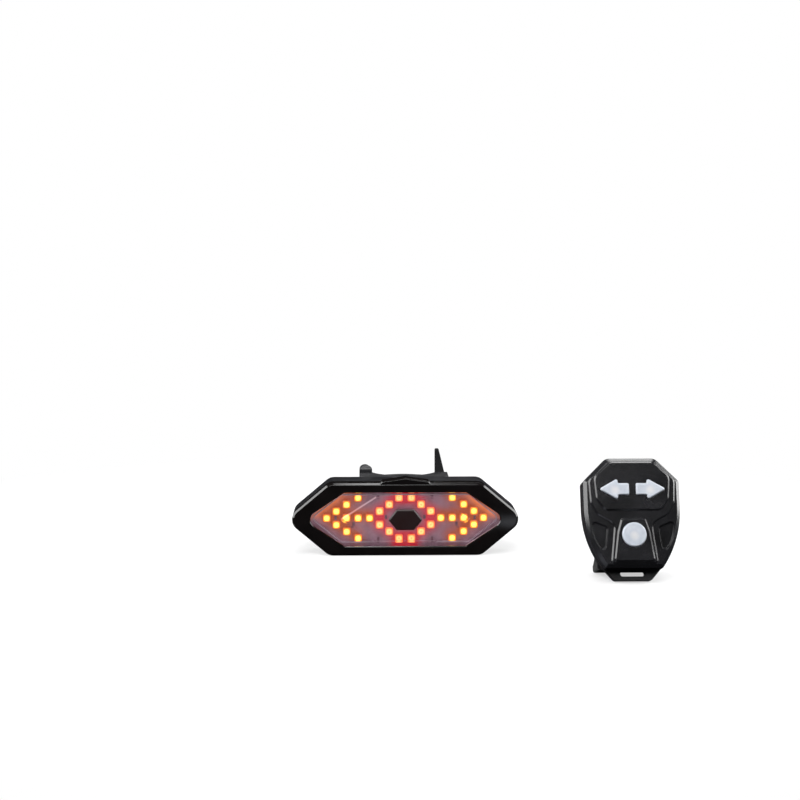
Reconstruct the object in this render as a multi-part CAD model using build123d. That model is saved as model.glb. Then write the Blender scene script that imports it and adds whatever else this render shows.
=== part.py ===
"""A bicycle rear light with turn signals, strapped to the seatpost, and its bar remote.

Millimetres. The origin is the centre of the casing's flat bottom face, +X is to the
right for someone who looks at the lens, -Y is the way the lens looks, and +Z runs up
along the seatpost. The remote leans back on its bar saddle beside the light.
"""

import os
from math import atan2, cos, degrees, radians, sin, sqrt

from build123d import *

# Fits that several pieces share
running_gap = 0.05
button_gap = 0.3
cut_over = 1.0
tip_passes = 6

# Casing of the light
case_width = 112.0
case_height = 36.3
case_depth = 22.0
tip_length = 18.3
case_tip_radius = 6.0
case_corner_radius = 6.0
case_wall = 2.4
bezel_depth = 7.0
bezel_front_wall = 2.0
front_bevel = 0.9
back_bevel = 1.6
case_flat = case_width - 2 * tip_length
centre_z = case_height / 2
front_y = -case_depth / 2
back_y = case_depth / 2
parting_y = front_y + bezel_depth
inner_back_y = back_y - case_wall

# Peaked pad on the top edge of the bezel
brow_width = 24.8
brow_shoulder_inset = 0.9
brow_shoulder_rise = 0.9
brow_rise = 2.6

# Lens and its opening in the bezel
band_height = 4.7
tip_band = 9.05
band_at_corner = 7.7
opening_tip_radius = 4.0
opening_corner_radius = 0.8
opening_lip = 0.3
lens_flange = 1.5
lens_flange_depth = 1.6
lens_recess = 0.5
lens_clearance = 0.12
pane_tip_inset = 14.95
pane_top_inset = 1.85
pane_point = 17.4
pane_rise = 0.6
pane_slope = 50
opening_half_width = case_width / 2 - tip_band
opening_half_height = case_height / 2 - band_height
opening_half_flat = case_flat / 2 - band_at_corner
pane_half_width = opening_half_width - pane_tip_inset
pane_half_height = opening_half_height - pane_top_inset
pane_half_flat = pane_half_width - pane_point
lens_seat_y = front_y + bezel_front_wall
lens_front_y = front_y + lens_recess
pane_front_y = lens_front_y - pane_rise

# Black hexagonal cap in the middle of the lens
cap_half_width = 8.25
cap_half_height = 5.15
cap_half_flat = 4.35
cap_head = 1.1
cap_bevel = 0.6
cap_neck_inset = 1.3
cap_neck_corner = 0.3

# Lamp board and lamps
board_thickness = 1.2
board_clearance = 0.4
lamp_size = 3.8
lamp_height = 1.3
lamp_bevel = 0.3
lamp_to_front = 4.8
row_pitch = 3.4
arrow_tip_x = 39.0
arrow_second_x = 34.2
arrow_third_x = 29.1
arrow_fourth_x = 23.4
arrow_tail_x = 17.7
ring_outer_x = 12.7
ring_middle_x = 7.9
ring_inner_x = 3.1
lamp_front_y = front_y + lamp_to_front
board_front_y = lamp_front_y + lamp_height
board_back_y = board_front_y + board_thickness

# Small components on the front of the lamp board
resistor_length = 2.0
resistor_width = 1.25
resistor_height = 0.55
near_resistor_x = 13.4
outer_resistor_z = 10.6
low_resistor_x = 25.6
low_resistor_z = -3.2
inner_resistor_x = 9.6
inner_resistor_z = 3.0
side_resistor_x = 34.6

# Case screws and their bosses
boss_radius = 2.7
boss_side_inset = 1.9
boss_top_inset = 4.9
case_screw_radius = 1.25
case_screw_head_radius = 2.3
case_screw_head = 1.5
case_screw_sink = 0.4
case_screw_bite = 2.9
screw_slot_width = 0.7
screw_slot_depth = 0.6
thread_gap = 0.02
boss_x = case_flat / 2 - boss_side_inset
boss_z = case_height / 2 - boss_top_inset

# Seal between the two shells
seal_width = 1.0
seal_depth = 0.8

# Cell, chip and radio
cell_length = 50.0
cell_height = 16.0
cell_thickness = 6.0
cell_x = -7.0
cell_edge_radius = 1.5
chip_length = 5.2
chip_height = 4.0
chip_thickness = 1.5
chip_x = -22.0
chip_pin_pitch = 1.27
chip_pins = 4
chip_pin_width = 0.4
chip_pin_reach = 1.0
chip_pin_thickness = 0.4
radio_length = 15.0
radio_height = 9.0
radio_thickness = 0.8
radio_x = 14.0
radio_can_length = 7.0
radio_can_height = 6.0
radio_can_thickness = 1.4
aerial_radius = 0.4
aerial_to_socket = 4.05
aerial_bend = 2.0
aerial_rise = 1.9

# Charging socket and its flap
socket_to_tip = 16.0
socket_width = 8.9
socket_height = 3.3
socket_wall = 0.35
socket_tongue_width = 6.6
socket_tongue_height = 0.7
socket_mouth_gap = 0.3
socket_floor = 2.0
flap_length = 15.0
flap_height = 7.6
flap_thickness = 1.4
flap_gap = 0.3
flap_corner_radius = 1.5
flap_plug_depth = 0.9
flap_plug_gap = 0.4
flap_stub_radius = 0.45
flap_stub_length = 1.0
flap_grip_length = 1.2
flap_grip_rise = 0.8
socket_x = case_width / 2 - socket_to_tip
flap_floor_y = back_y - flap_thickness
flap_hinge_x = socket_x - flap_length / 2 + flap_thickness / 2
flap_hinge_y = back_y - flap_thickness / 2

# Power button on top of the rear shell and the switch below it
button_length = 13.0
button_depth = 6.0
seal_to_button = 0.4
button_proud = 0.9
button_flange = 0.8
button_flange_thickness = 0.8
button_dome_radius = 0.6
button_travel = 0.8
button_stem_radius = 1.0
switch_length = 6.0
switch_height = 3.5
switch_depth = 3.6
switch_plunger_radius = 0.8
switch_plunger_rise = 0.7
switch_drop = 3.4
button_y = parting_y + seal_depth + seal_to_button + button_gap + button_depth / 2

# Post cradle, rubber pad and strap
post_radius = 15.8
pad_thickness = 2.0
cradle_web = 4.0
cradle_half_width = 22.6
cradle_depth = 15.0
cradle_bottom = 3.0
cradle_top = 36.0
cradle_bevel = 1.2
pad_half_angle = 68
pad_margin = 1.0
pad_groove_radius = 0.4
pad_grooves = 5
cradle_screw_radius = 1.45
cradle_screw_head_radius = 2.7
cradle_screw_head = 1.8
cradle_screw_bite = 4.0
cradle_screw_offset = 11.0
cradle_boss_radius = 2.6
strap_thickness = 2.6
strap_bottom = 11.0
strap_top = 31.0
strap_gap = 0.35
strap_start_angle = 193
strap_end_angle = -14
hinge_x = -19.6
hinge_back = 2.6
ear_radius = 3.3
ear_top = 39.6
ear_dome = 2.4
hinge_pin_radius = 1.5
hinge_eye_radius = 3.0
hook_plate_margin = 1.5
hook_plate_thickness = 2.5
hook_plate_corner = 1.8
hook_gap = 0.4
peg_radius = 1.6
peg_hole_radius = 2.4
peg_tip = 2.4
peg_tip_bevel = 0.5
tab_top = 48.0
tab_top_width = 2.0
tab_foot_width = 6.6
cradle_front_y = back_y
post_y = cradle_front_y + cradle_web + pad_thickness + post_radius
arm_end_y = cradle_front_y + cradle_depth
hinge_y = arm_end_y + hinge_back
peg_z = (strap_bottom + strap_top) / 2
hook_plate_inner = post_radius + strap_gap
peg_x = post_radius + strap_thickness + peg_hole_radius - running_gap
hook_plate_outer = peg_x + peg_hole_radius + hook_plate_margin

# Remote: outline of the body, seen from the front
remote_width = 44.0
remote_height = 55.5
lug_height = 5.2
remote_top_flat = 22.6
remote_shoulder_drop = 10.6
side_bottom_share = 0.5527
remote_foot_width = 26.0
remote_top_radius = 4.4
remote_shoulder_radius = 2.2
remote_wall = 1.8
remote_base_depth = 7.5
cover_bevel = 1.6
base_bevel = 1.4
cover_face = 1.8

# Remote: lanyard lug
lug_foot_width = 17.0
lug_front = 1.6
lug_thickness = 3.4
lug_corner_radius = 2.0
lug_slot_length = 11.3
lug_slot_width = 2.3
lug_slot_rise = 3.1

# Remote: raised fields and sunk corners of the cover, in shares of its half width and height
field_rise = 0.7
field_slope = 45
field_corner_radius = 4.0
field_foot_radius = 1.6
pocket_depth = 0.9
pocket_slope = 35
upper_field_shares = (
    (0, 0.9622), (0.4636, 0.9622), (0.7955, 0.8231), (0.7545, 0.615), (0.595, 0.5129), (0, 0.5129),
)
spine_field_shares = (
    (0, 0.9781), (0.4864, 0.9781), (0.9045, 0.7992), (0.878, 0.585), (0.745, 0.478),
    (0.395, 0.395), (0.4955, 0.034), (0, 0.034),
)
centre_field_shares = (
    (0, 0.4453), (0.255, 0.4453), (0.34, 0.32), (0.43, 0.05), (0, 0.05),
)
pocket_corner_shares = (
    (0.8273, 0.4135), (0.5455, 0.3618), (0.6091, 0.1471),
)
pocket_bulge_share = (0.7864, 0.2664)

# Remote: keys
arrow_inner = 1.6
arrow_length = 13.7
arrow_height = 9.7
arrow_shaft_length = 5.1
arrow_shaft_height = 5.3
arrow_share = 0.7078
arrow_corner_radius = 0.7
round_key_radius = 5.5
round_key_share = 0.2942
key_proud = 0.8
key_edge = 0.4
key_gap = 0.25
key_flange = 0.7
key_flange_thickness = 0.8
key_travel = 0.8
key_rest_gap = 0.3

# Remote: inside
mat_thickness = 1.0
mat_margin = 1.0
tact_height = 1.2
tact_size = 4.6
tact_dome_radius = 1.7
remote_board_thickness = 1.2
remote_board_y = 0.4
remote_board_gap = 0.5
coin_radius = 10.0
coin_thickness = 3.2
coin_share = 0.4334
coin_rim = 0.3
clip_thickness = 0.35
clip_width = 4.0
clip_plate_radius = 7.0
clip_gap = 0.25
remote_boss_radius = 2.1
remote_screw_radius = 0.9
remote_screw_head_radius = 1.7
remote_screw_head = 1.2
remote_screw_shares = ((0.7909, 0.7038), (0.6773, 0.1869))
remote_seal_width = 0.8
remote_seal_depth = 0.6

# Remote: rubber saddle for the handlebar
bar_radius = 15.9
saddle_web = 2.6
saddle_width = 30.0
saddle_wall = 3.0
saddle_reach = 14.0
saddle_share = 0.3738
saddle_corner_radius = 1.2

# Remote: where it stands
remote_x = 102.0
remote_y = -72.0

face_height = remote_height - lug_height
remote_side_bottom = lug_height + side_bottom_share * face_height
arrow_z = lug_height + arrow_share * face_height
round_key_z = lug_height + round_key_share * face_height
coin_z = lug_height + coin_share * face_height
saddle_z = lug_height + saddle_share * face_height
mat_front_y = remote_board_y - tact_height - mat_thickness
cover_depth = cover_face + key_flange_thickness + key_travel + key_rest_gap - mat_front_y
remote_back_y = remote_base_depth
remote_inner_back_y = remote_base_depth - remote_wall
cover_top_y = -cover_depth
field_top_y = cover_top_y - 2 * field_rise
saddle_end_y = remote_back_y + saddle_reach
bar_y = remote_back_y + saddle_web + bar_radius
saddle_half_height = sqrt(bar_radius**2 - (bar_y - saddle_end_y) ** 2) + saddle_wall
lug_back_y = lug_front + lug_thickness
recline = atan2(saddle_z - saddle_half_height, saddle_end_y - lug_back_y)


def facing(y, x=0, z=0):
    """A drawing plane that looks out of the lens, with local Y pointing up."""
    return Plane(origin=(x, y, z), x_dir=(1, 0, 0), z_dir=(0, -1, 0))


def slab(sketch, back, front, x=0, z=centre_z):
    """A sketch made solid between two depths."""
    return extrude(facing(back, x, z) * sketch, amount=back - front, dir=(0, -1, 0))


def swell(sketch, back, front, slope, z=centre_z):
    """A slab whose sides lean in by the slope, in degrees, towards its front."""
    return extrude(facing(back, 0, z) * sketch, amount=back - front, taper=slope)


def column(sketch, low, high):
    """A sketch on the ground plan made solid between two heights."""
    return extrude(Pos(0, 0, low) * sketch, amount=high - low)


def block(x, y, z):
    """A box from its three ranges."""
    size = (x[1] - x[0], y[1] - y[0], z[1] - z[0])
    middle = (sum(x) / 2, sum(y) / 2, sum(z) / 2)
    return Pos(*middle) * Box(*size)


def hexagon(half_width, half_height, half_flat, tip_radius, corner_radius):
    """The casing's outline: a long hexagon whose rounded tips reach the half width."""
    tip = half_width
    for _ in range(tip_passes):
        lean = atan2(half_height, tip - half_flat)
        tip = half_width + tip_radius * (1 / sin(lean) - 1)
    ring = [(tip, 0), (half_flat, half_height), (-half_flat, half_height)]
    ring += [(-tip, 0), (-half_flat, -half_height), (half_flat, -half_height)]
    outline = Polygon(*ring, align=None)
    tips = outline.vertices().filter_by(lambda v: abs(v.Y) < half_height / 2)
    outline = fillet(tips, tip_radius)
    corners = outline.vertices().filter_by(lambda v: abs(v.Y) > 0.9 * half_height)
    return fillet(corners, corner_radius)


def mirrored(points, corner_radius, foot_radius):
    """The right half of an outline joined to its mirror image, with rounded corners and rounded foot."""
    right = [(x, z) for x, z in reversed(points) if x > 0]
    left = [(-x, z) for x, z in points if x > 0]
    outline = Polygon(*right, *left, align=None)
    corners = [corner for level in outline.vertices().group_by(Axis.Y)[1:] for corner in level]
    outline = fillet(corners, corner_radius)
    return fillet(outline.vertices().group_by(Axis.Y)[0], foot_radius)


case_outline = hexagon(case_width / 2, case_height / 2, case_flat / 2, case_tip_radius, case_corner_radius)
cavity_outline = offset(case_outline, amount=-case_wall)
opening_outline = hexagon(
    opening_half_width, opening_half_height, opening_half_flat, opening_tip_radius, opening_corner_radius
)
cap_corner = cap_bevel + running_gap * 2
cap_outline = hexagon(cap_half_width, cap_half_height, cap_half_flat, cap_corner, cap_corner)
neck_outline = hexagon(
    cap_half_width - cap_neck_inset, cap_half_height - cap_neck_inset, cap_half_flat - cap_neck_inset / 2,
    cap_neck_corner, cap_neck_corner,
)
boss_places = [(x, z) for x in (-boss_x, boss_x) for z in (centre_z - boss_z, centre_z + boss_z)]


def seal_ring(depth_gap=0.0):
    """The seal's track in the middle of the rear shell's rim."""
    side = (case_wall - seal_width) / 2
    track = offset(case_outline, amount=-side) - offset(case_outline, amount=-side - seal_width)
    return slab(track, parting_y + seal_depth + depth_gap, parting_y)


def front_bezel():
    """Glossy front frame with the lens opening, the peaked brow and four screw bosses."""
    shell = slab(case_outline, parting_y, front_y)
    shell = chamfer(shell.faces().sort_by(Axis.Y)[0].edges(), front_bevel)
    half = brow_width / 2
    top = case_height / 2
    ridge = [(-half, top - cut_over), (-half, top), (-half + brow_shoulder_inset, top + brow_shoulder_rise)]
    ridge += [(0, top + brow_rise), (half - brow_shoulder_inset, top + brow_shoulder_rise), (half, top)]
    ridge += [(half, top - cut_over)]
    brow = slab(Polygon(*ridge, align=None), parting_y, front_y)
    brow = chamfer(brow.faces().sort_by(Axis.Y)[0].edges(), front_bevel / 2)
    shell += brow
    shell -= slab(cavity_outline, parting_y, lens_seat_y)
    shell -= slab(opening_outline, lens_seat_y, front_y)
    shell -= swell(opening_outline, front_y + opening_lip, front_y, -45)
    for x, z in boss_places:
        post = slab(Circle(boss_radius), board_front_y, lens_seat_y, x, z)
        shell += post & slab(case_outline, board_front_y, lens_seat_y)
        pilot = Circle(case_screw_radius + thread_gap)
        shell -= slab(pilot, board_front_y, board_front_y - case_screw_bite, x, z)
    return shell


def rear_housing():
    """Rear shell with bosses, the socket opening, the flap's pocket and the button's hole."""
    shell = slab(case_outline, back_y, parting_y)
    shell = chamfer(shell.faces().sort_by(Axis.Y)[-1].edges(), back_bevel)
    shell -= slab(cavity_outline, inner_back_y, parting_y)
    for x, z in boss_places:
        post = slab(Circle(boss_radius), inner_back_y, board_back_y, x, z)
        shell += post & slab(case_outline, inner_back_y, board_back_y)
    for x, z in boss_places:
        shell -= slab(Circle(case_screw_radius + running_gap), back_y, board_back_y, x, z)
        head_floor = back_y - case_screw_head - case_screw_sink
        shell -= slab(Circle(case_screw_head_radius + running_gap), back_y + cut_over, head_floor, x, z)
    for side in (-1, 1):
        z = centre_z + side * cradle_screw_offset
        bite_y = inner_back_y - cradle_screw_bite
        shell += slab(Circle(cradle_boss_radius), inner_back_y, bite_y, 0, z)
        shell -= slab(Circle(cradle_screw_radius + thread_gap), back_y, bite_y, 0, z)
    shell -= seal_ring()
    pocket = RectangleRounded(flap_length + 2 * flap_gap, flap_height + 2 * flap_gap, flap_gap)
    shell -= slab(pocket, back_y + cut_over, flap_floor_y, socket_x)
    mouth = RectangleRounded(socket_width, socket_height, socket_height / 2 - socket_wall)
    shell -= slab(mouth, back_y, inner_back_y - cut_over, socket_x)
    stub_reach = flap_height / 2 + flap_gap + flap_stub_length
    stub_hole = Cylinder(flap_stub_radius + running_gap, 2 * stub_reach)
    shell -= Pos(flap_hinge_x, flap_hinge_y, centre_z) * stub_hole
    hole = RectangleRounded(button_length + 2 * button_gap, button_depth + 2 * button_gap, button_depth / 2)
    shell -= column(Pos(0, button_y) * hole, case_height - case_wall - cut_over, case_height + cut_over)
    return shell


def housing_gasket():
    """Square rubber seal that lies in the rim of the rear shell."""
    return seal_ring()


def lens():
    """Clear lens: flange behind the bezel, window in the opening and a folded middle pane."""
    body = slab(offset(opening_outline, amount=lens_flange), lens_seat_y + lens_flange_depth, lens_seat_y)
    body += slab(offset(opening_outline, amount=-lens_clearance), lens_seat_y, lens_front_y)
    pane = hexagon(
        pane_half_width, pane_half_height, pane_half_flat, opening_corner_radius, opening_corner_radius
    )
    body += swell(pane, lens_front_y, pane_front_y, pane_slope)
    hole = offset(neck_outline, amount=running_gap)
    body -= slab(hole, lens_seat_y + lens_flange_depth, pane_front_y)
    for x, z in boss_places:
        body -= slab(Circle(boss_radius + lens_clearance), lens_seat_y + lens_flange_depth, lens_seat_y, x, z)
    return body


def centre_cap():
    """Black hexagonal cap that stands on the board and covers the middle of the lens."""
    head = slab(cap_outline, pane_front_y, pane_front_y - cap_head)
    head = chamfer(head.faces().sort_by(Axis.Y)[0].edges(), cap_bevel)
    return head + slab(neck_outline, board_front_y, pane_front_y)


def led_board():
    """White lamp board, held between the bosses of the two shells."""
    board = slab(offset(cavity_outline, amount=-board_clearance), board_back_y, board_front_y)
    for x, z in boss_places:
        board -= slab(Circle(case_screw_radius + running_gap), board_back_y, board_front_y, x, z)
    return board


def lamp(x, z):
    """One square lamp at a place counted from the middle of the lens."""
    body = slab(Rectangle(lamp_size, lamp_size), board_front_y, lamp_front_y, x, centre_z + z)
    return chamfer(body.faces().sort_by(Axis.Y)[0].edges(), lamp_bevel)


def arrow_lamps(side):
    """Ten amber lamps in an arrow that points away from the middle."""
    lamps = []
    head = (arrow_tip_x, arrow_second_x, arrow_third_x, arrow_fourth_x)
    for row, x in enumerate(head):
        heights = {row * row_pitch, -row * row_pitch}
        lamps += [lamp(side * x, z) for z in sorted(heights)]
    shaft = (arrow_third_x, arrow_fourth_x, arrow_tail_x)
    lamps += [lamp(side * x, 0) for x in shaft]
    return Compound(children=lamps)


def ring_lamps():
    """Twelve red lamps in a ring round the middle cap."""
    lamps = []
    for row, x in enumerate((ring_outer_x, ring_middle_x, ring_inner_x), start=1):
        for side in (-1, 1):
            lamps += [lamp(side * x, z) for z in (-row * row_pitch, row * row_pitch)]
    return Compound(children=lamps)


def board_components():
    """Chip resistors on the front of the board."""
    places = [(s * near_resistor_x, t * outer_resistor_z) for s in (-1, 1) for t in (-1, 1)]
    places += [(s * low_resistor_x, low_resistor_z) for s in (-1, 1)]
    places += [(s * inner_resistor_x, row_pitch - inner_resistor_z) for s in (-1, 1)]
    places += [(s * side_resistor_x, 0) for s in (-1, 1)]
    chips = []
    for x, z in places:
        outline = Rectangle(resistor_width, resistor_length)
        chips.append(slab(outline, board_front_y, board_front_y - resistor_height, x, centre_z + z))
    return Compound(children=chips)


def control_chip():
    """Controller in an eight-pin package on the back of the board."""
    y = board_back_y
    chip = slab(Rectangle(chip_length, chip_height), y + chip_thickness, y, chip_x)
    for k in range(chip_pins):
        x = chip_x + (k - (chip_pins - 1) / 2) * chip_pin_pitch
        pin = Rectangle(chip_pin_width, chip_height + 2 * chip_pin_reach)
        chip += slab(pin, y + chip_pin_thickness, y, x)
    return chip


def radio_receiver():
    """Receiver module: its small board and its screening can."""
    y = board_back_y
    module = slab(Rectangle(radio_length, radio_height), y + radio_thickness, y, radio_x)
    can = Rectangle(radio_can_length, radio_can_height)
    return module + slab(can, y + radio_thickness + radio_can_thickness, y + radio_thickness, radio_x)


def aerial():
    """Stiff wire aerial that rises from the receiver and runs beside it."""
    y = board_back_y + radio_thickness
    x = radio_x + radio_length / 2 - aerial_bend
    end = socket_x - socket_width / 2 - aerial_to_socket
    points = [(x, y, centre_z), (x, y + aerial_rise, centre_z), (end, y + aerial_rise, centre_z)]
    path = FilletPolyline(*points, radius=aerial_rise / 2)
    return sweep(Plane(origin=path @ 0, z_dir=path % 0) * Circle(aerial_radius), path=path)


def battery_pack():
    """Flat lithium cell stuck to the inside of the rear wall."""
    cell = block(
        (cell_x - cell_length / 2, cell_x + cell_length / 2),
        (inner_back_y - cell_thickness, inner_back_y),
        (centre_z - cell_height / 2, centre_z + cell_height / 2),
    )
    return fillet(cell.edges().filter_by(Axis.Z), cell_edge_radius)


def usb_socket():
    """Charging socket that stands on the board and opens through the rear wall."""
    shell_radius = socket_height / 2 - socket_wall
    mouth_y = flap_floor_y - flap_plug_depth - socket_mouth_gap
    inset = running_gap + socket_mouth_gap / 2
    outline = RectangleRounded(socket_width - 2 * inset, socket_height - 2 * inset, shell_radius - inset)
    hollow = offset(outline, amount=-socket_wall)
    body = slab(outline, mouth_y, board_back_y, socket_x)
    body -= slab(hollow, mouth_y, board_back_y + socket_floor, socket_x)
    tongue = Rectangle(socket_tongue_width, socket_tongue_height)
    return body + slab(tongue, mouth_y - socket_wall, board_back_y + socket_floor, socket_x)


def usb_cover():
    """Rubber flap in its pocket, with a plug for the socket, a finger lip and two hinge stubs."""
    low = flap_hinge_x
    high = socket_x + flap_length / 2
    z_range = (centre_z - flap_height / 2, centre_z + flap_height / 2)
    flap = block((low, high), (flap_floor_y, back_y), z_range)
    tip_edges = flap.edges().filter_by(Axis.Y).group_by(Axis.X)[-1]
    flap = fillet(tip_edges, flap_corner_radius)
    hinge = Pos(flap_hinge_x, flap_hinge_y, centre_z)
    flap += hinge * Cylinder(flap_thickness / 2, flap_height)
    stub_reach = flap_height / 2 + flap_gap + flap_stub_length - running_gap
    flap += hinge * Cylinder(flap_stub_radius, 2 * stub_reach)
    plug_radius = socket_height / 2 - flap_plug_gap - socket_wall
    plug = RectangleRounded(socket_width - 2 * flap_plug_gap, socket_height - 2 * flap_plug_gap, plug_radius)
    flap += slab(plug, flap_floor_y, flap_floor_y - flap_plug_depth, socket_x)
    lip = block((high - 2 * flap_grip_length, high - flap_grip_length), (back_y, back_y + flap_grip_rise),
                (centre_z - flap_height / 4, centre_z + flap_height / 4))
    return flap + lip


def power_button():
    """Rubber button with a flange below the top wall and a stem over the switch."""
    top = case_height + button_proud
    wall_under = case_height - case_wall
    face = Pos(0, button_y) * RectangleRounded(button_length, button_depth, button_depth / 2 - running_gap)
    cap = column(face, wall_under, top)
    cap = fillet(cap.faces().sort_by(Axis.Z)[-1].edges(), button_dome_radius)
    rim = offset(face, amount=button_flange)
    cap += column(rim, wall_under - button_flange_thickness, wall_under)
    plunger_top = wall_under - switch_drop + switch_plunger_rise
    stem_foot = plunger_top + button_travel + running_gap
    stem = Pos(0, board_back_y + switch_depth / 2) * Circle(button_stem_radius)
    return cap + column(stem, stem_foot, wall_under)


def power_switch():
    """Side switch on the back of the board, with its plunger upwards."""
    top = case_height - case_wall - switch_drop
    y_range = (board_back_y, board_back_y + switch_depth)
    body = block((-switch_length / 2, switch_length / 2), y_range, (top - switch_height, top))
    plunger = Pos(0, board_back_y + switch_depth / 2) * Circle(switch_plunger_radius)
    return body + column(plunger, top, top + switch_plunger_rise)


def slotted_screw(radius, head_radius, head, seat_y, tip_y, x, z):
    """A screw whose head faces backwards, with a straight slot."""
    screw = slab(Circle(head_radius), seat_y + head, seat_y, x, z)
    screw = chamfer(screw.faces().sort_by(Axis.Y)[-1].edges(), head / 5)
    slot = Rectangle(2 * head_radius, screw_slot_width)
    screw -= slab(slot, seat_y + head, seat_y + head - screw_slot_depth, x, z)
    return screw + slab(Circle(radius), seat_y, tip_y, x, z)


def case_screws():
    """Four screws that pull the two shells together."""
    seat = back_y - case_screw_head - case_screw_sink
    tip = board_front_y - case_screw_bite + running_gap
    sizes = (case_screw_radius, case_screw_head_radius, case_screw_head)
    return Compound(children=[slotted_screw(*sizes, seat, tip, x, z) for x, z in boss_places])


def cradle_plan():
    """Ground plan of the cradle: a block with the seatpost's hollow."""
    low, high = cradle_front_y, arm_end_y
    half = cradle_half_width
    plan = Polygon((-half, low), (half, low), (half, high), (-half, high), align=None)
    plan = chamfer(plan.vertices().sort_by(Axis.Y)[:2], cradle_bevel * 2)
    return plan - Pos(0, post_y) * Circle(post_radius + pad_thickness)


def post_cradle():
    """Bracket screwed to the rear shell: arms round the post, hinge ears and the strap's peg."""
    body = column(cradle_plan(), cradle_bottom, cradle_top)
    eye = Pos(hinge_x, hinge_y) * Circle(ear_radius)
    neck = Polygon(
        (hinge_x - ear_radius, arm_end_y - ear_radius), (hinge_x + ear_radius, arm_end_y - ear_radius),
        (hinge_x + ear_radius, hinge_y), (hinge_x - ear_radius, hinge_y), align=None,
    )
    ear = (eye + neck) - Pos(0, post_y) * Circle(post_radius + pad_thickness)
    body += column(ear, cradle_bottom, strap_bottom - strap_gap)
    upper = column(ear, strap_top + strap_gap, ear_top)
    body += fillet(upper.faces().sort_by(Axis.Z)[-1].edges(), ear_dome)
    swing = Pos(hinge_x, hinge_y) * Circle(hinge_eye_radius + strap_gap)
    body -= column(swing, strap_bottom - strap_gap, strap_top + strap_gap)
    pin_hole = Pos(hinge_x, hinge_y) * Circle(hinge_pin_radius + running_gap)
    body -= column(pin_hole, cradle_bottom, ear_top - ear_dome)
    peg_end_y = arm_end_y + hook_gap + hook_plate_thickness + peg_tip
    peg = slab(Circle(peg_radius), peg_end_y, arm_end_y, peg_x, peg_z)
    body += chamfer(peg.faces().sort_by(Axis.Y)[-1].edges(), peg_tip_bevel)
    for side in (-1, 1):
        z = centre_z + side * cradle_screw_offset
        body -= slab(Circle(cradle_screw_radius + running_gap), post_y, cradle_front_y, 0, z)
        seat = cradle_front_y + cradle_web - cradle_screw_head
        body -= slab(Circle(cradle_screw_head_radius + running_gap), post_y, seat, 0, z)
    return body


def cradle_screws():
    """Two screws from the post's hollow into the rear shell, under the rubber pad."""
    seat = cradle_front_y + cradle_web - cradle_screw_head
    tip = inner_back_y - cradle_screw_bite + running_gap
    sizes = (cradle_screw_radius, cradle_screw_head_radius, cradle_screw_head)
    places = [centre_z - cradle_screw_offset, centre_z + cradle_screw_offset]
    screws = Compound(children=[slotted_screw(*sizes, seat, tip, 0, z) for z in places])
    return screws - column(Pos(0, post_y) * Circle(post_radius + pad_thickness), 0, case_height)


def sector(inner, outer, start, end):
    """A ring's sector round the post axis, from one angle in degrees to another."""
    ring = Circle(outer) - Circle(inner)
    reach = 2 * outer
    steps = 6
    angles = [radians(start + (end - start) * k / steps) for k in range(steps + 1)]
    wedge = [(0, 0)] + [(reach * cos(a), reach * sin(a)) for a in angles]
    return Pos(0, post_y) * (ring & Polygon(*wedge, align=None))


def cradle_pad():
    """Rubber liner in the post's hollow, grooved along the post."""
    start, end = 270 - pad_half_angle, 270 + pad_half_angle
    plan = sector(post_radius, post_radius + pad_thickness, start, end)
    for k in range(pad_grooves):
        angle = radians(start + (end - start) * (k + 0.5) / pad_grooves)
        groove = Pos(post_radius * cos(angle), post_y + post_radius * sin(angle)) * Circle(pad_groove_radius)
        plan -= groove
    return column(plan, cradle_bottom + pad_margin, cradle_top - pad_margin)


def strap():
    """Silicone strap: hinge eye, band round the post, holed hook plate and pull tab."""
    band = sector(post_radius, post_radius + strap_thickness, strap_end_angle, strap_start_angle)
    plan = band + Pos(hinge_x, hinge_y) * Circle(hinge_eye_radius)
    plan -= Pos(0, post_y) * Circle(post_radius)
    body = column(plan, strap_bottom, strap_top)
    low, high = arm_end_y + hook_gap, arm_end_y + hook_gap + hook_plate_thickness
    half_z = (strap_top - strap_bottom) / 2
    middle_x = (hook_plate_inner + hook_plate_outer) / 2
    plate = RectangleRounded(hook_plate_outer - hook_plate_inner, 2 * half_z, hook_plate_corner)
    body += slab(plate, high, low, middle_x, peg_z)
    tab = [(hook_plate_inner, strap_top - hook_plate_corner), (hook_plate_inner, tab_top)]
    tab += [(hook_plate_inner + tab_top_width, tab_top)]
    tab += [(hook_plate_inner + tab_foot_width, strap_top - hook_plate_corner)]
    tongue = slab(Polygon(*tab, align=None), high, low, 0, 0)
    body += fillet(tongue.edges().filter_by(Axis.Y).group_by(Axis.Z)[-1], tab_top_width / 3)
    body -= slab(Circle(peg_hole_radius), high, low, peg_x, peg_z)
    body -= column(Pos(hinge_x, hinge_y) * Circle(hinge_pin_radius + running_gap), strap_bottom, strap_top)
    return body


def strap_pin():
    """Steel pin through the ears and the strap's eye."""
    plan = Pos(hinge_x, hinge_y) * Circle(hinge_pin_radius)
    pin = column(plan, cradle_bottom, ear_top - ear_dome)
    return chamfer(pin.edges().filter_by(GeomType.CIRCLE), hinge_pin_radius / 5)


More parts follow.
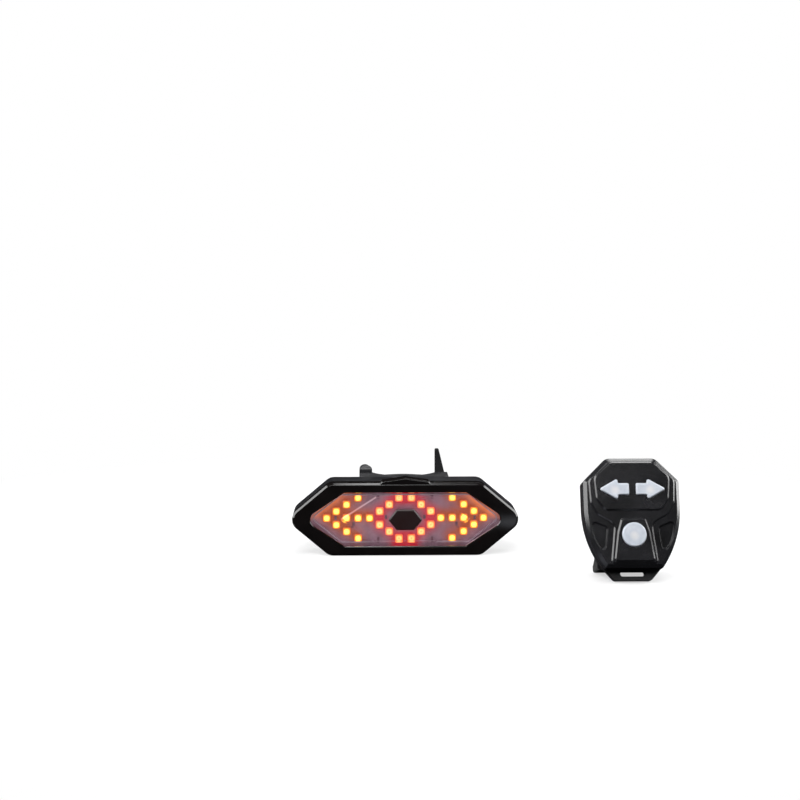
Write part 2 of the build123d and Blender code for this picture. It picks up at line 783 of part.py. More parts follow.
def remote_outline():
    """Remote seen from the front: cut shoulders, straight sides and a curved foot."""
    half = remote_width / 2
    top = remote_height
    shoulder = top - remote_shoulder_drop
    foot = remote_foot_width / 2
    drop = remote_side_bottom - lug_height
    radius = (drop**2 + (half - foot) ** 2) / (2 * (half - foot))
    middle = radians(degrees(atan2(drop, radius - half + foot)) / 2)
    bend = (half - radius + radius * cos(middle), remote_side_bottom - radius * sin(middle))
    right = [
        Line((0, top), (remote_top_flat / 2, top)),
        Line((remote_top_flat / 2, top), (half, shoulder)),
        Line((half, shoulder), (half, remote_side_bottom)),
        ThreePointArc((half, remote_side_bottom), bend, (foot, lug_height)),
        Line((foot, lug_height), (0, lug_height)),
    ]
    left = [mirror(edge, about=Plane.YZ) for edge in right]
    face = make_face(Curve(children=right + left).edges())
    tops = face.vertices().filter_by(lambda v: v.Y > top - cut_over and abs(v.X) > cut_over)
    face = fillet(tops, remote_top_radius)
    shoulders = face.vertices().filter_by(lambda v: abs(v.Y - shoulder) < cut_over)
    return fillet(shoulders, remote_shoulder_radius)


def on_face(shares, side=1):
    """Places on the remote's face from their shares of its half width and its height."""
    return [(side * x * remote_width / 2, lug_height + z * face_height) for x, z in shares]


body_outline = remote_outline()
body_cavity = offset(body_outline, amount=-remote_wall)
screw_places = on_face(remote_screw_shares, -1) + on_face(remote_screw_shares)


def arrow_outline(side):
    """Arrow that points outwards, with a short shaft towards the middle."""
    tip = arrow_inner + arrow_length
    neck = arrow_inner + arrow_shaft_length
    half_head, half_shaft = arrow_height / 2, arrow_shaft_height / 2
    points = [(tip, 0), (neck, half_head), (neck, half_shaft), (arrow_inner, half_shaft)]
    points += [(x, -z) for x, z in reversed(points) if z > 0]
    arrow = Polygon(*[(side * x, arrow_z + z) for x, z in points][::side], align=None)
    return fillet(arrow.vertices(), arrow_corner_radius)


round_outline = Pos(0, round_key_z) * Circle(round_key_radius)
key_outlines = {
    "left_arrow_key": arrow_outline(-1),
    "right_arrow_key": arrow_outline(1),
    "round_key": round_outline,
}


def remote_slab(sketch, back, front):
    """A slab drawn in the remote's own upright frame, before it leans back."""
    return slab(sketch, back, front, 0, 0)


def pocket_outline(side):
    """Sunk corner of the cover: two straight sides and a bulged outer one."""
    corners = on_face(pocket_corner_shares, side)
    bulge = on_face([pocket_bulge_share], side)[0]
    edges = [Line(corners[0], corners[1]), Line(corners[1], corners[2])]
    edges += [ThreePointArc(corners[2], bulge, corners[0])]
    return fillet(make_face(Curve(children=edges).edges()).vertices(), remote_shoulder_radius / 2)


def remote_cover():
    """Top shell of the remote with its raised fields, sunk corners and key holes."""
    shell = remote_slab(body_outline, 0, cover_top_y)
    shell = chamfer(shell.faces().sort_by(Axis.Y)[0].edges(), cover_bevel)
    first, second = cover_top_y - field_rise, field_top_y
    spine = mirrored(on_face(spine_field_shares), field_corner_radius, field_foot_radius)
    upper = mirrored(on_face(upper_field_shares), field_corner_radius, field_corner_radius)
    centre = mirrored(on_face(centre_field_shares), field_foot_radius, field_foot_radius)
    shell += swell(spine, cover_top_y, first, field_slope, 0)
    shell += swell(upper, first, second, field_slope, 0)
    shell += swell(centre, first, second, field_slope, 0)
    for side in (-1, 1):
        shell -= swell(pocket_outline(side), cover_top_y + pocket_depth, cover_top_y, -pocket_slope, 0)
    shell -= remote_slab(body_cavity, 0, cover_top_y + cover_face)
    for x, z in screw_places:
        post = slab(Circle(remote_boss_radius), remote_board_y, cover_top_y + cover_face, x, z)
        shell += post & remote_slab(body_outline, 0, cover_top_y + cover_face)
        pilot = Circle(remote_screw_radius + thread_gap)
        shell -= slab(pilot, remote_board_y, cover_top_y + cover_face, x, z)
    for outline in key_outlines.values():
        shell -= remote_slab(offset(outline, amount=key_gap), 0, field_top_y)
    return shell


def remote_key(outline):
    """Translucent key with a retaining flange behind the cover."""
    front = field_top_y - key_proud
    back = cover_top_y + cover_face
    key = remote_slab(outline, back, front)
    key = chamfer(key.faces().sort_by(Axis.Y)[0].edges(), key_edge)
    rim = offset(outline, amount=key_flange)
    return key + remote_slab(rim, back + key_flange_thickness, back)


def remote_gasket():
    """Thin seal in the rim of the remote's base."""
    side = (remote_wall - remote_seal_width) / 2
    track = offset(body_outline, amount=-side) - offset(body_outline, amount=-side - remote_seal_width)
    return remote_slab(track, remote_seal_depth, 0)


def remote_base():
    """Rear shell of the remote with screw posts and the slotted lug below."""
    shell = remote_slab(body_outline, remote_back_y, 0)
    shell = chamfer(shell.faces().sort_by(Axis.Y)[-1].edges(), base_bevel)
    foot, end = remote_foot_width / 2, lug_foot_width / 2
    root = lug_height + cut_over
    lug = [(-foot, root), (-foot, lug_height), (-end, 0), (end, 0), (foot, lug_height), (foot, root)]
    lug = Polygon(*lug, align=None)
    lug = fillet(lug.vertices().group_by(Axis.Y)[0], lug_corner_radius)
    shell += remote_slab(lug, lug_back_y, lug_front)
    shell -= remote_slab(body_cavity, remote_inner_back_y, 0)
    floor = remote_board_y + remote_board_thickness
    for x, z in screw_places:
        post = slab(Circle(remote_boss_radius), remote_inner_back_y, floor, x, z)
        shell += post & remote_slab(body_outline, remote_inner_back_y, floor)
    for x, z in screw_places:
        shell -= slab(Circle(remote_screw_radius + running_gap), remote_back_y, floor, x, z)
        sink = Circle(remote_screw_head_radius + running_gap)
        shell -= slab(sink, remote_back_y, remote_back_y - remote_screw_head, x, z)
    shell -= remote_gasket()
    slot = SlotOverall(lug_slot_length, lug_slot_width)
    shell -= slab(slot, lug_back_y, lug_front, 0, lug_slot_rise)
    return shell


def inner_plate(margin, back, front, hole_radius):
    """A plate that fills the remote's cavity but for a margin and the screw posts."""
    plate = remote_slab(offset(body_cavity, amount=-margin), back, front)
    for x, z in screw_places:
        plate -= slab(Circle(hole_radius), back, front, x, z)
    return plate


def key_mat():
    """Rubber mat between the keys and the switches."""
    return inner_plate(mat_margin, mat_front_y + mat_thickness, mat_front_y, remote_boss_radius + key_gap)


def remote_board():
    """Circuit board of the remote, clamped between the screw posts."""
    back = remote_board_y + remote_board_thickness
    return inner_plate(remote_board_gap, back, remote_board_y, remote_screw_radius + running_gap)


def remote_switches():
    """Three tact switches under the keys."""
    arrow_x = arrow_inner + arrow_length / 2
    switches = []
    for x, z in ((-arrow_x, arrow_z), (arrow_x, arrow_z), (0, round_key_z)):
        step_y = remote_board_y - tact_height / 2
        base = slab(Rectangle(tact_size, tact_size), remote_board_y, step_y, x, z)
        dome = slab(Circle(tact_dome_radius), step_y, step_y - tact_height / 2, x, z)
        switches.append(base + dome)
    return Compound(children=switches)


coin_front_y = remote_board_y + remote_board_thickness + clip_thickness
coin_back_y = coin_front_y + coin_thickness


def coin_cell():
    """Coin cell with its bevelled rim."""
    cell = slab(Circle(coin_radius), coin_back_y, coin_front_y, 0, coin_z)
    return chamfer(cell.edges().filter_by(GeomType.CIRCLE), coin_rim)


def cell_clips():
    """Contact plate under the coin cell and the spring strap over it."""
    board_back = remote_board_y + remote_board_thickness
    plate = slab(Circle(clip_plate_radius), coin_front_y, board_back, 0, coin_z)
    inside = coin_radius + clip_gap
    outside = inside + clip_thickness
    over_y = coin_back_y + clip_thickness
    strap_over = slab(Rectangle(2 * outside, clip_width), over_y, board_back, 0, coin_z)
    strap_over -= slab(Rectangle(2 * inside, clip_width), coin_back_y, board_back, 0, coin_z)
    return Compound(children=[plate, strap_over])


def remote_screws():
    """Four screws through the base into the cover."""
    seat = remote_back_y - remote_screw_head
    tip = cover_top_y + cover_face + running_gap
    sizes = (remote_screw_radius, remote_screw_head_radius, remote_screw_head)
    return Compound(children=[slotted_screw(*sizes, seat, tip, x, z) for x, z in screw_places])


def bar_saddle():
    """Rubber saddle on the remote's back, hollowed for the handlebar."""
    half = saddle_half_height
    profile = Pos((remote_back_y + saddle_end_y) / 2, saddle_z) * Rectangle(saddle_reach, 2 * half)
    profile -= Pos(bar_y, saddle_z) * Circle(bar_radius)
    side_plane = Plane(origin=(-saddle_width / 2, 0, 0), x_dir=(0, 1, 0), z_dir=(1, 0, 0))
    saddle = extrude(side_plane * profile, amount=saddle_width)
    corners = saddle.edges().filter_by(Axis.Y)
    return fillet(corners, saddle_corner_radius)


remote_stand = Pos(remote_x, remote_y, lug_back_y * sin(recline)) * Rot(-degrees(recline), 0, 0)

light_nodes = {
    "front_bezel": front_bezel,
    "rear_housing": rear_housing,
    "housing_gasket": housing_gasket,
    "lens": lens,
    "centre_cap": centre_cap,
    "led_board": led_board,
    "amber_lamps_left": lambda: arrow_lamps(-1),
    "amber_lamps_right": lambda: arrow_lamps(1),
    "red_lamps": ring_lamps,
    "board_components": board_components,
    "control_chip": control_chip,
    "radio_receiver": radio_receiver,
    "aerial": aerial,
    "battery_pack": battery_pack,
    "usb_socket": usb_socket,
    "usb_cover": usb_cover,
    "power_button": power_button,
    "power_switch": power_switch,
    "case_screws": case_screws,
    "post_cradle": post_cradle,
    "cradle_screws": cradle_screws,
    "cradle_pad": cradle_pad,
    "strap": strap,
    "strap_pin": strap_pin,
}
remote_nodes = {
    "remote_cover": remote_cover,
    "remote_base": remote_base,
    "remote_gasket": remote_gasket,
    "key_mat": key_mat,
    "remote_board": remote_board,
    "remote_switches": remote_switches,
    "coin_cell": coin_cell,
    "cell_clips": cell_clips,
    "remote_screws": remote_screws,
    "bar_saddle": bar_saddle,
}

os.makedirs("parts", exist_ok=True)
for name, make in light_nodes.items():
    export_step(make(), f"parts/{name}.step")
for name, make in remote_nodes.items():
    export_step(remote_stand * make(), f"parts/{name}.step")
for name, outline in key_outlines.items():
    export_step(remote_stand * remote_key(outline), f"parts/{name}.step")
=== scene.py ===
"""Looks of the bicycle turn signal light and its bar remote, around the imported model."""
from math import atan, atan2, cos, exp, radians, sin, tan

import bmesh
import bpy
from mathutils import Matrix, Vector


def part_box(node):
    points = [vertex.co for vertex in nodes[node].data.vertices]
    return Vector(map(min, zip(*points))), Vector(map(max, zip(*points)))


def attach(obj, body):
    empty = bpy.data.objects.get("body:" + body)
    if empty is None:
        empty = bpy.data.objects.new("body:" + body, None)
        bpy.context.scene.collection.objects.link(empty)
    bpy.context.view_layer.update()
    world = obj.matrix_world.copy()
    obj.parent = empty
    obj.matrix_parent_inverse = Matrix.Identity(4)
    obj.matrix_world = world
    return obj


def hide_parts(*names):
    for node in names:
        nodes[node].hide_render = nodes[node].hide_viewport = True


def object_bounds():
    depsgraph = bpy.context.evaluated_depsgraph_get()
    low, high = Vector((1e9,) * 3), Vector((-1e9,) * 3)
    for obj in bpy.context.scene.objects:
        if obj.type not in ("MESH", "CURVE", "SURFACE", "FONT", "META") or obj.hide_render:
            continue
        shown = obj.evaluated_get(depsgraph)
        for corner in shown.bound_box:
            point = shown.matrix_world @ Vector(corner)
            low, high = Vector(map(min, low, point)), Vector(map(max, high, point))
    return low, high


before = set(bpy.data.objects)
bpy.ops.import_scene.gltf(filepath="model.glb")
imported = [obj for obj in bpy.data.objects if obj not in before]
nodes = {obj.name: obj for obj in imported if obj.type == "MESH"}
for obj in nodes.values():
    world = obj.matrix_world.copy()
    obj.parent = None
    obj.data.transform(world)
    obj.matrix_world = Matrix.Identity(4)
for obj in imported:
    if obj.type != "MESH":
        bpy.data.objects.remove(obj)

cad_low, cad_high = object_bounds()
mm = 0.001

# The camera's place, from the photograph's framing in its 800 by 800 pixels
frame_pixels = 800
light_centre_px = (405.5, 519.6)
light_width_px = 225.9
view_distance = 0.70
view_elevation = radians(11.1)
view_azimuth = radians(-1.5)
sensor = 36.0

# Studio: the bowl, how far its paper stays shaded, the pale card before the remote, and the room
floor_radius = 1.9
wall_bend = 0.7
wall_height = 1.6
bowl_segments = 96
bend_segments = 14
bowl_weld = 0.01 * mm
shade_near, shade_far = 0.14, 0.34
shade_share = 0.55
card_middle = (0.064, -0.095, 0.0)
card_reach = 0.022
card_core_share = 0.2
card_glow = 1.6
room_glow = 0.10
# Soft lamps: name, place, width, height and watts
soft_lamps = (
    ("front_box", (-0.12, -0.78, 1.0), 0.8, 0.8, 14.0),
    ("left_strip", (-1.0, 0.06, 0.50), 0.85, 1.0, 19.0),
    ("right_strip", (1.12, 0.06, 0.50), 0.85, 1.0, 22.0),
    ("rear_box", (0.30, 0.95, 1.45), 0.9, 0.6, 12.0),
    ("top_strip", (0.0, -0.17, 1.05), 0.10, 0.30, 0.7),
)


def linear(code):
    """An sRGB hex colour as linear red, green, blue and alpha."""
    parts = [int(code[k:k + 2], 16) / 255 for k in (0, 2, 4)]
    return (*[p / 12.92 if p <= 0.04045 else ((p + 0.055) / 1.055) ** 2.4 for p in parts], 1.0)


def add(tree, kind, values=None, links=None, stops=(), **settings):
    """Adds a node with its settings, socket values, incoming links and colour stops."""
    node = tree.nodes.new(kind)
    for name, value in settings.items():
        setattr(node, name, value)
    for name, value in (values or {}).items():
        node.inputs[name].default_value = value
    for name, source in (links or {}).items():
        tree.links.new(source, node.inputs[name])
    if stops:
        ends = node.color_ramp.elements
        for end, (place, colour) in zip((ends[0], ends[1]), (stops[0], stops[-1])):
            end.position, end.color = place, colour
        for place, colour in stops[1:-1]:
            ends.new(place).color = colour
    return node


def start_material(name, **values):
    """A material with one Principled shader, and that shader's values."""
    material = bpy.data.materials.new(name)
    material.use_nodes = True
    tree = material.node_tree
    shader = tree.nodes["Principled BSDF"]
    for key, value in values.items():
        shader.inputs[key.replace("_", " ")].default_value = value
    return material, tree, shader


def mottled(tree, pattern, low, high, places=(0.0, 1.0)):
    """A colour that goes from one to the other along a pattern."""
    stops = list(zip(places, (low, high)))
    return add(tree, "ShaderNodeValToRGB", links={"Fac": pattern}, stops=stops).outputs["Color"]


def stain(tree, shader, pattern, first, second, places=(0.0, 1.0), socket="Base Color"):
    """Mottles a shader's colour between two hex colours along a pattern."""
    colour = mottled(tree, pattern, linear(first), linear(second), places)
    tree.links.new(colour, shader.inputs[socket])


def grain(tree, size_mm, detail=2.0, roughness=0.5, stretch=(1, 1, 1)):
    """Noise on the object's own coordinates, with one cell about as wide as the size."""
    place = add(tree, "ShaderNodeTexCoord").outputs["Object"]
    scaled = add(tree, "ShaderNodeMapping", values={"Scale": stretch}, links={"Vector": place})
    values = {"Scale": 1 / (size_mm * mm), "Detail": detail, "Roughness": roughness}
    noise = add(tree, "ShaderNodeTexNoise", values=values, links={"Vector": scaled.outputs["Vector"]})
    return noise.outputs["Fac"]


def roughen(tree, shader, pattern, low, high):
    """Moves a shader's roughness between two values along a pattern."""
    values = {"To Min": low, "To Max": high}
    node = add(tree, "ShaderNodeMapRange", values=values, links={"Value": pattern})
    tree.links.new(node.outputs["Result"], shader.inputs["Roughness"])


def tinted(tree, source, code, amount):
    """A colour mixed towards another one by an amount."""
    values, links = {"B": linear(code)}, {"A": source, "Factor": amount}
    return add(tree, "ShaderNodeMix", data_type="RGBA", values=values, links=links).outputs["Result"]


def relief(tree, shader, source, depth_mm, strength=1.0):
    """Bump of a real depth on a shader's normal."""
    values = {"Strength": strength, "Distance": depth_mm * mm}
    bump = add(tree, "ShaderNodeBump", values=values, links={"Height": source})
    tree.links.new(bump.outputs["Normal"], shader.inputs["Normal"])
    return bump


def soften_edges(tree, bump, radius_mm):
    """Rounds the look of moulded edges by a small radius."""
    edge = add(tree, "ShaderNodeBevel", values={"Radius": radius_mm * mm}, samples=6)
    tree.links.new(edge.outputs["Normal"], bump.inputs["Normal"])


def gloss_abs(name, code, edge_mm):
    """High-gloss injection-moulded ABS: deep black, mirror-like, with faint smears of handling."""
    material, tree, shader = start_material(name, IOR=1.5)
    smear = grain(tree, 9.0, detail=5.0, roughness=0.6)
    roughen(tree, shader, smear, 0.06, 0.17)
    stain(tree, shader, smear, code, "141010", (0.35, 0.8))
    soften_edges(tree, relief(tree, shader, grain(tree, 2.6), 0.004), edge_mm)
    return material


def textured_abs(name, code, grain_mm, rough, edge_mm=0.3):
    """Spark-textured ABS: fine even pits that spread the highlights."""
    material, tree, shader = start_material(name, IOR=1.5)
    pits = grain(tree, grain_mm, detail=3.0, roughness=0.7)
    wear = grain(tree, 14.0, detail=4.0)
    roughen(tree, shader, wear, rough - 0.07, rough + 0.08)
    stain(tree, shader, wear, code, "26262A", (0.3, 1.0))
    soften_edges(tree, relief(tree, shader, pits, 0.02), edge_mm)
    return material


def silicone(name, code, rough=0.55):
    """Moulded silicone: matt, with a faint bloom and dust that it attracts."""
    material, tree, shader = start_material(name, IOR=1.42, Sheen_Weight=0.12, Sheen_Roughness=0.5)
    dust = grain(tree, 0.5, detail=6.0, roughness=0.8)
    cloud = grain(tree, 7.0, detail=3.0)
    stain(tree, shader, dust, code, "2E2E31", (0.55, 1.0))
    roughen(tree, shader, cloud, rough - 0.08, rough + 0.1)
    soften_edges(tree, relief(tree, shader, dust, 0.01), 0.3)
    return material


def plated_steel(name, code, rough=0.28):
    """Zinc or nickel plated steel: bright, with fine turning marks."""
    material, tree, shader = start_material(name, Metallic=1.0)
    marks = grain(tree, 0.25, detail=4.0, stretch=(1, 1, 6))
    stain(tree, shader, marks, code, "DADAD6")
    roughen(tree, shader, marks, rough - 0.08, rough + 0.12)
    soften_edges(tree, relief(tree, shader, marks, 0.004), 0.12)
    return material


def solder_mask(name, code, second):
    """Fibreglass board under solder mask: faint weave below an even, slightly glossy coat."""
    material, tree, shader = start_material(name, IOR=1.5, Roughness=0.35)
    place = add(tree, "ShaderNodeTexCoord").outputs["Object"]
    weave = add(tree, "ShaderNodeTexChecker", values={"Scale": 1 / (0.5 * mm)}, links={"Vector": place})
    soft = grain(tree, 3.0, detail=4.0)
    stain(tree, shader, soft, code, second, (0.3, 0.75))
    relief(tree, shader, weave.outputs["Fac"], 0.004, 0.4)
    return material


# The pane bends light less than a thick block would (1.58), so that its tips stay clear
pane_ior = 1.25
# Its upper left fold faces this way and carries a painted highlight, a thread of light painted as glow
fold_light = (-0.45, -0.3, 0.84)
fold_start, fold_full = 0.60, 0.86
fold_lean = 0.2
fold_painted_highlight = 0.40


def polycarbonate(name):
    """Clear moulded polycarbonate: faint violet tint, slight waves, and a painted highlight along one
    fold.
    """
    material, tree, shader = start_material(name, IOR=pane_ior, Transmission_Weight=1.0)
    shader.inputs["Base Color"].default_value = linear("F6EEF5")
    wave = grain(tree, 6.0, detail=2.0)
    roughen(tree, shader, wave, 0.015, 0.05)
    relief(tree, shader, wave, 0.006)
    facing = add(tree, "ShaderNodeTexCoord").outputs["Normal"]
    links, values = {0: facing}, {1: fold_light}
    towards = add(tree, "ShaderNodeVectorMath", operation="DOT_PRODUCT", links=links, values=values)
    values = {"From Min": fold_start, "From Max": fold_full, "To Min": 0.0, "To Max": fold_painted_highlight}
    glint = add(tree, "ShaderNodeMapRange", values=values, links={"Value": towards.outputs["Value"]})
    sideways = add(tree, "ShaderNodeSeparateXYZ", links={"Vector": facing}).outputs["X"]
    lean = add(tree, "ShaderNodeMath", operation="ABSOLUTE", links={0: sideways}).outputs["Value"]
    fold = add(tree, "ShaderNodeMath", operation="GREATER_THAN", links={0: lean}, values={1: fold_lean})
    links = {0: glint.outputs["Result"], 1: fold.outputs["Value"]}
    amount = add(tree, "ShaderNodeMath", operation="MULTIPLY", links=links)
    # Painted highlight: the lens glows pale pink where it faces the fold's way
    shader.inputs["Emission Color"].default_value = linear("DCC6CA")
    tree.links.new(amount.outputs["Value"], shader.inputs["Emission Strength"])
    return material


# Depth that light sinks into a key, and the pale spot over its switch
milk_depth = 1.2 * mm
spot_core, spot_rim = 0.8 * mm, 3.2 * mm
spot_paleness = 0.9
spot_depth_share = 0.4


def key_plastic(name, middle):
    """Milky polycarbonate keys: light sinks in a little, and the switch shows as a pale spot."""
    values = {"IOR": 1.5, "Subsurface_Weight": 0.35, "Subsurface_Scale": milk_depth}
    material, tree, shader = start_material(name, **values)
    shader.inputs["Subsurface Radius"].default_value = (1.0, 1.0, 1.0)
    cloud = grain(tree, 4.0, detail=4.0)
    milk = mottled(tree, cloud, linear("C2C9D3"), linear("D6DBE3"), (0.3, 0.7))
    place = add(tree, "ShaderNodeTexCoord").outputs["Object"]
    away = add(tree, "ShaderNodeVectorMath", operation="DISTANCE", links={0: place}, values={1: middle})
    values = {"From Min": spot_core, "From Max": spot_rim, "To Min": spot_paleness, "To Max": 0.0}
    spot = add(tree, "ShaderNodeMapRange", values=values, links={"Value": away.outputs["Value"]})
    tree.links.new(tinted(tree, milk, "F6F1EC", spot.outputs["Result"]), shader.inputs["Base Color"])
    roughen(tree, shader, cloud, 0.25, 0.38)
    soften_edges(tree, relief(tree, shader, grain(tree, 0.3), 0.006), 0.25)
    return material


def plain_shell(name, code, rough, metallic=0.0):
    """Small inner piece: one moulded or plated colour with a fine mottle."""
    material, tree, shader = start_material(name, Metallic=metallic)
    mottle = grain(tree, 0.8, detail=4.0)
    low = linear(code)
    high = (*[min(1.0, c * 1.25 + 0.01) for c in low[:3]], 1.0)
    tree.links.new(mottled(tree, mottle, low, high), shader.inputs["Base Color"])
    roughen(tree, shader, mottle, rough - 0.05, rough + 0.1)
    relief(tree, shader, mottle, 0.005)
    return material


def dress(material, *names):
    """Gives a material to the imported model's own pieces."""
    for name in names:
        nodes[name].data.materials.clear()
        nodes[name].data.materials.append(material)


def finish_piece(name, mesh_builder, material, body, slot, *stands_for):
    """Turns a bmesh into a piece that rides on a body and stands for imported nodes."""
    mesh = bpy.data.meshes.new(name)
    mesh_builder.to_mesh(mesh)
    mesh_builder.free()
    piece = bpy.data.objects.new(name, mesh)
    bpy.context.scene.collection.objects.link(piece)
    mesh.materials.append(material)
    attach(piece, body)
    if stands_for:
        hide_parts(*stands_for)


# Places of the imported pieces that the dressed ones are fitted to
case_low, case_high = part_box("rear_housing")
centre_z = (case_low.z + case_high.z) / 2
board_low, board_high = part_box("led_board")
bezel_low, bezel_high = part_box("front_bezel")
lens_low, lens_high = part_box("lens")
lamp_front_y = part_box("red_lamps")[0].y
board_front_y = board_low.y
packed_weld = 0.001 * mm


def merged(node):
    """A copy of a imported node's mesh with its loose triangles joined."""
    builder = bmesh.new()
    builder.from_mesh(nodes[node].data)
    bmesh.ops.remove_doubles(builder, verts=builder.verts, dist=packed_weld)
    return builder


def solid_boxes(node):
    """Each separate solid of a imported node: its x, its height over the case's middle, its width."""
    builder = merged(node)
    waiting = set(builder.verts)
    boxes = []
    while waiting:
        reached = [waiting.pop()]
        for v in reached:
            near = {e.other_vert(v) for e in v.link_edges} & waiting
            waiting -= near
            reached.extend(near)
        across, up = sorted(v.co.x for v in reached), sorted(v.co.z for v in reached)
        middle_x, middle_z = (across[0] + across[-1]) / 2, (up[0] + up[-1]) / 2
        boxes.append((middle_x, middle_z - centre_z, across[-1] - across[0]))
    builder.free()
    return sorted(boxes)


lamp_nodes = ("amber_lamps_left", "amber_lamps_right", "red_lamps")
left_boxes, right_boxes, ring_boxes = [solid_boxes(node) for node in lamp_nodes]
lamp_size = ring_boxes[0][2]

# Lamp package: bevelled ceramic cup with a domed resin window
package_corner = 0.75 * mm
package_bevel = 0.22 * mm
window_share = 0.92
window_cells = 10
window_dome = 0.22 * mm
window_seat = 0.04 * mm
window_depth = 0.3 * mm


def upright(edge):
    """Whether an edge of a lamp's package runs from the board to the front."""
    return abs(edge.verts[0].co.y - edge.verts[1].co.y) > (board_front_y - lamp_front_y) / 2


def package(builder, x, z):
    """A lamp's cup: a square block with round corners and bevelled rims."""
    others = set(builder.verts)
    block = bmesh.ops.create_cube(builder, size=1.0)["verts"]
    bmesh.ops.scale(builder, vec=(lamp_size, board_front_y - lamp_front_y, lamp_size), verts=block)
    rounding = {"profile": 0.5, "affect": "EDGES", "material": -1, "clamp_overlap": True}
    posts = [e for e in builder.edges if not others & set(e.verts) and upright(e)]
    bmesh.ops.bevel(builder, geom=posts, offset=package_corner, segments=4, **rounding)
    rims = [e for e in builder.edges if not others & set(e.verts) and not upright(e)]
    bmesh.ops.bevel(builder, geom=rims, offset=package_bevel, segments=2, **rounding)
    place = Vector((x, (board_front_y + lamp_front_y) / 2, centre_z + z))
    bmesh.ops.translate(builder, vec=place, verts=list(set(builder.verts) - others))


def window(builder, heart, x, z):
    """A lamp's resin: a closed pillow whose vertices know how near its middle they are."""
    half = lamp_size * window_share / 2
    cells = {"x_segments": window_cells, "y_segments": window_cells}
    front = bmesh.ops.create_grid(builder, size=half, **cells)["verts"]
    for v in front:
        square = v.co.xy / half
        reach = (square.x**4 + square.y**4) ** 0.25
        pull = max(abs(square.x), abs(square.y)) / max(reach, 0.001)
        v[heart] = max(0.0, 1.0 - reach)
        v.co.xy = v.co.xy * pull
        v.co.z = window_dome * (1 - (reach * pull) ** 4)
    seat = Matrix.Translation((x, lamp_front_y + window_seat, centre_z + z))
    bmesh.ops.transform(builder, matrix=seat @ Matrix.Rotation(radians(90), 4, "X"), verts=front)
    sheet = list({f for v in front for f in v.link_faces})
    for f in sheet:
        f.smooth = True
    drawn = bmesh.ops.extrude_face_region(builder, geom=sheet, use_keep_orig=True)["geom"]
    back = [v for v in drawn if isinstance(v, bmesh.types.BMVert)]
    bmesh.ops.translate(builder, vec=(0, window_depth, 0), verts=back)


def lamp_cluster(name, boxes, material, slot, *stands_for):
    """All lamps of one node as one piece."""
    builder = bmesh.new()
    heart = builder.verts.layers.float.new("heart")
    for x, z, _ in boxes:
        package(builder, x, z)
        window(builder, heart, x, z)
    finish_piece(name, builder, material, "light", slot, *stands_for)


def lit_resin(name, core, middle, rim, chip, strength):
    """Lit lamp resin: brightest round the chip at its heart, deeper in colour towards the rim."""
    material, tree, shader = start_material(name, Roughness=0.35)
    heart = add(tree, "ShaderNodeAttribute", attribute_name="heart").outputs["Fac"]
    shades = zip((0.0, 0.16, 0.42, 0.72, 1.0), (rim, middle, core, core, chip))
    stops = [(place, linear(code)) for place, code in shades]
    colour = add(tree, "ShaderNodeValToRGB", links={"Fac": heart}, stops=stops)
    dull, clear = (0.82, 0.82, 0.82, 1.0), (1.0, 1.0, 1.0, 1.0)
    speck = mottled(tree, grain(tree, 0.9, detail=3.0), dull, clear, (0.35, 0.6))
    mixed = add(tree, "ShaderNodeMix", data_type="RGBA", blend_type="MULTIPLY", values={"Factor": 1.0})
    tree.links.new(colour.outputs["Color"], mixed.inputs["A"])
    tree.links.new(speck, mixed.inputs["B"])
    tree.links.new(mixed.outputs["Result"], shader.inputs["Emission Color"])
    tree.links.new(mixed.outputs["Result"], shader.inputs["Base Color"])
    shader.inputs["Emission Strength"].default_value = strength
    return material


amber_resin = lit_resin("lit_amber_resin", "FFE464", "FFB428", "B85A10", "FFF08C", 1.15)
lamp_cluster("left_arrow_lamps", left_boxes, amber_resin, "amber_lamp", "amber_lamps_left")
lamp_cluster("right_arrow_lamps", right_boxes, amber_resin, "amber_lamp", "amber_lamps_right")
red_resin = lit_resin("lit_red_resin", "FFC470", "F8A454", "E06A34", "C86836", 1.05)
lamp_cluster("ring_lamps", ring_boxes, red_resin, "red_lamp", "red_lamps")

# Board: its front is a fine grid that carries the lamps' painted glow as attributes, halos painted where
# their light falls
board_cell = 0.55 * mm
front_skin = 0.1 * mm
board_painted_glow = 0.75
amber_reach = 3.5 * mm
amber_shift = (-0.7 * mm, 1.1 * mm)
red_reach = 3.1 * mm
spill_inset = 2.6 * mm
# Painted glow beside the slanted walls: its width, gap and strength, and how it sets in outwards and
# upwards
edge_reach = 2.3 * mm
edge_gap = 1.5 * mm
edge_strength = 1.15
outward_lead, outward_rise = 4.0 * mm, 10.0 * mm
upward_lead, upward_rise = 1.5 * mm, 5.0 * mm
# Opening of the bezel: the lens without its flange, and half of its flat top
lens_flange = 1.5 * mm
opening_half_width = (lens_high.x - lens_low.x) / 2 - lens_flange
opening_half_height = (lens_high.z - lens_low.z) / 2 - lens_flange
opening_half_flat = 30.0 * mm


def painted_halo_at(x, z, boxes, reach, shift=(0.0, 0.0)):
    """Sum of painted soft halos of the lamps at one point of the board."""
    aways = [(x - b[0] - shift[0]) ** 2 + (z - b[1] - shift[1]) ** 2 for b in boxes]
    return min(1.0, sum(exp(-away / reach**2) for away in aways))


def painted_edge_glow(x, z):
    """Painted light on the board beside the lens's upper slanted walls, standing in for the light those
    walls throw.
    """
    run, rise = opening_half_width - opening_half_flat, opening_half_height
    length = (run**2 + rise**2) ** 0.5
    distance = ((opening_half_width - abs(x)) * rise - z * run) / length
    outwards = min(1.0, max(0.0, (abs(x) - opening_half_flat + outward_lead) / outward_rise))
    upwards = min(1.0, max(0.0, (z + upward_lead) / upward_rise))
    return edge_strength * outwards * upwards * exp(-((distance - edge_gap) / edge_reach) ** 2)


